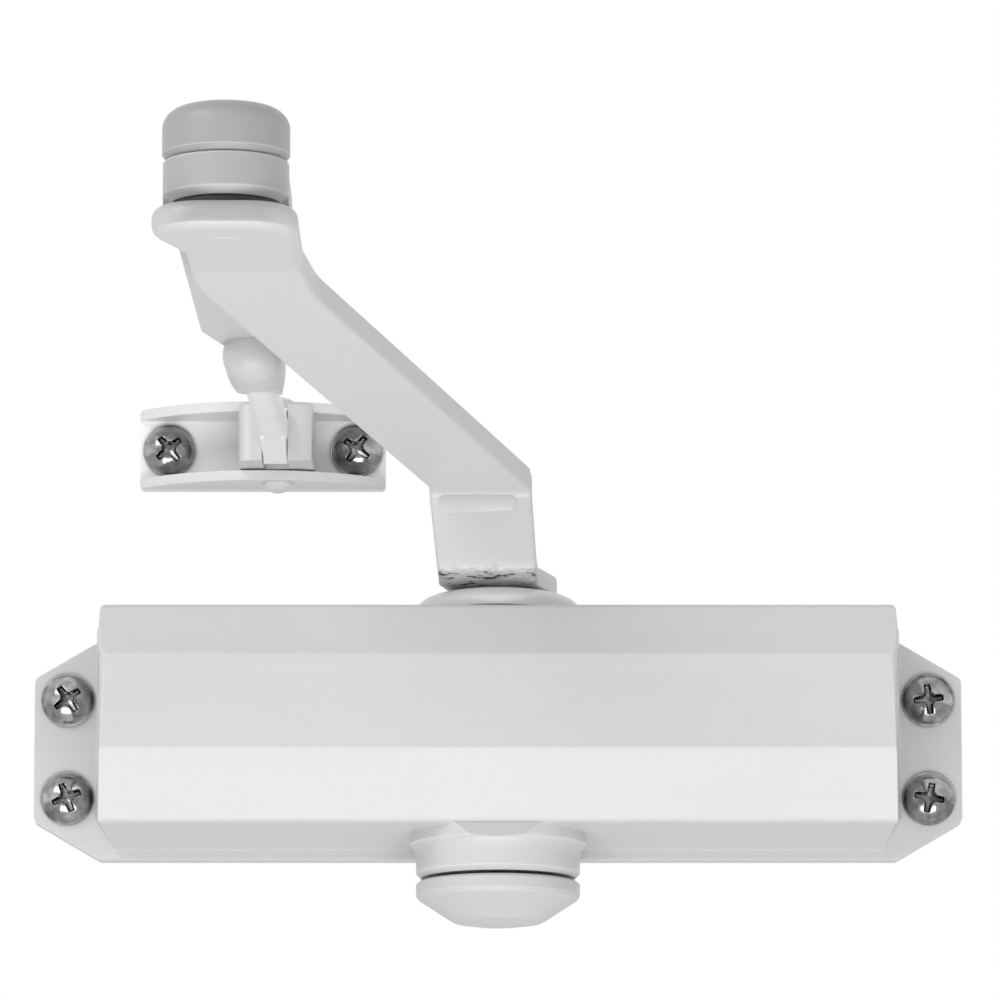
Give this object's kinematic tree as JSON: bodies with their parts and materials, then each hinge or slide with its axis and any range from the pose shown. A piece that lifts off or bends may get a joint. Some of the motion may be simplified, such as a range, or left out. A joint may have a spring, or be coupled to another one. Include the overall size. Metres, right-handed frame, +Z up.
{
  "type": "door closer",
  "caption": "Surface-mounted overhead door closer: rack-and-pinion body, cranked main arm, adjustable forearm and frame shoe.",
  "frame": {"origin": "centre of the four mounting screws on the back plane of the body", "axes": "+X along the body to the right seen from the front, +Y into the door, +Z up; the front faces -Y"},
  "size_m": [0.1778, 0.2175, 0.1221],
  "materials": {
    "body_enamel": "silver-grey sprayed enamel on die-cast aluminium, satin, faint orange peel",
    "arm_enamel": "silver-grey sprayed enamel on pressed steel, satin",
    "cap_enamel": "silver-grey moulded plastic, satin",
    "pin_enamel": "silver-grey enamel over a riveted steel pin",
    "bright_zinc": "bright zinc-plated steel",
    "rod_zinc": "pale zinc-plated steel, satin",
    "machined_steel": "turned and ground steel",
    "spring_steel": "oil-tempered spring steel",
    "bearing_bronze": "sintered bronze",
    "valve_brass": "turned brass",
    "seal_rubber": "black nitrile rubber",
    "washer_plastic": "black acetal"
  },
  "bodies": {
    "closer_body": {"body_casting": "body_enamel", "end_plug_left": "machined_steel", "end_plug_right": "machined_steel", "end_plug_seals": "seal_rubber", "bearing_gland": "body_enamel", "top_bush": "bearing_bronze", "bottom_bush": "bearing_bronze", "spindle_seals": "seal_rubber", "mounting_screws": "bright_zinc", "valve_seals": "seal_rubber", "outer_spring": "spring_steel", "inner_spring": "spring_steel"},
    "closing_screw": {"closing_valve": "valve_brass"},
    "latching_screw": {"latching_valve": "valve_brass"},
    "piston": {"piston": "machined_steel", "check_valve_seat": "valve_brass", "check_ball": "machined_steel"},
    "arm": {"spindle": "machined_steel", "main_arm": "arm_enamel", "arm_washer": "bright_zinc", "arm_screw": "bright_zinc", "bottom_cap": "cap_enamel", "elbow_pin": "pin_enamel", "elbow_washer": "washer_plastic", "elbow_nut": "bright_zinc"},
    "forearm": {"forearm_link": "arm_enamel", "elbow_bush": "bearing_bronze", "elbow_cap": "cap_enamel"},
    "rod": {"adjusting_rod": "rod_zinc"},
    "knuckle": {"swivel_knuckle": "rod_zinc", "cross_pin": "rod_zinc"},
    "shoe": {"shoe_bracket": "arm_enamel", "shoe_pin": "pin_enamel", "shoe_screws": "bright_zinc"}
  },
  "joints": [
    {"name": "spindle_turn", "type": "hinge", "parent": "closer_body", "child": "arm", "pos_m": [0, -0.021, 0], "axis": [0, 0, 1], "range_deg": [-150, 15], "stiffness_Nm_per_rad": 2},
    {"name": "piston_slide", "type": "slide", "parent": "closer_body", "child": "piston", "axis": [1, 0, 0], "range_m": [-0.01964, 0.00197], "deforming": ["outer_spring", "inner_spring"]},
    {"name": "closing_turn", "type": "hinge", "parent": "closer_body", "child": "closing_screw", "pos_m": [0.0725, -0.033, -0.0125], "axis": [1, 0, 0], "range_deg": [-180, 180]},
    {"name": "latching_turn", "type": "hinge", "parent": "closer_body", "child": "latching_screw", "pos_m": [0.0725, -0.033, 0.017], "axis": [1, 0, 0], "range_deg": [-180, 180]},
    {"name": "elbow_turn", "type": "hinge", "parent": "arm", "child": "forearm", "pos_m": [-0.0464, -0.18496, 0.07], "axis": [0, 0, 1], "range_deg": [-1, 160]},
    {"name": "forearm_length", "type": "slide", "parent": "forearm", "child": "rod", "axis": [0.0234, 0.9997, 0], "range_m": [-0.008, 0.012]},
    {"name": "rod_tilt", "type": "hinge", "parent": "rod", "child": "knuckle", "pos_m": [-0.04249, -0.0184, 0.0587], "axis": [0.9997, -0.0234, 0], "range_deg": [-5, 5]},
    {"name": "shoe_turn", "type": "hinge", "parent": "knuckle", "child": "shoe", "pos_m": [-0.0423, -0.0102, 0.0587], "axis": [0, 0, 1], "range_deg": [-70, 70]}
  ],
  "couplings": [
    {"joint": "piston_slide", "follows": "spindle_turn", "m_per_rad": 0.0075}
  ]
}
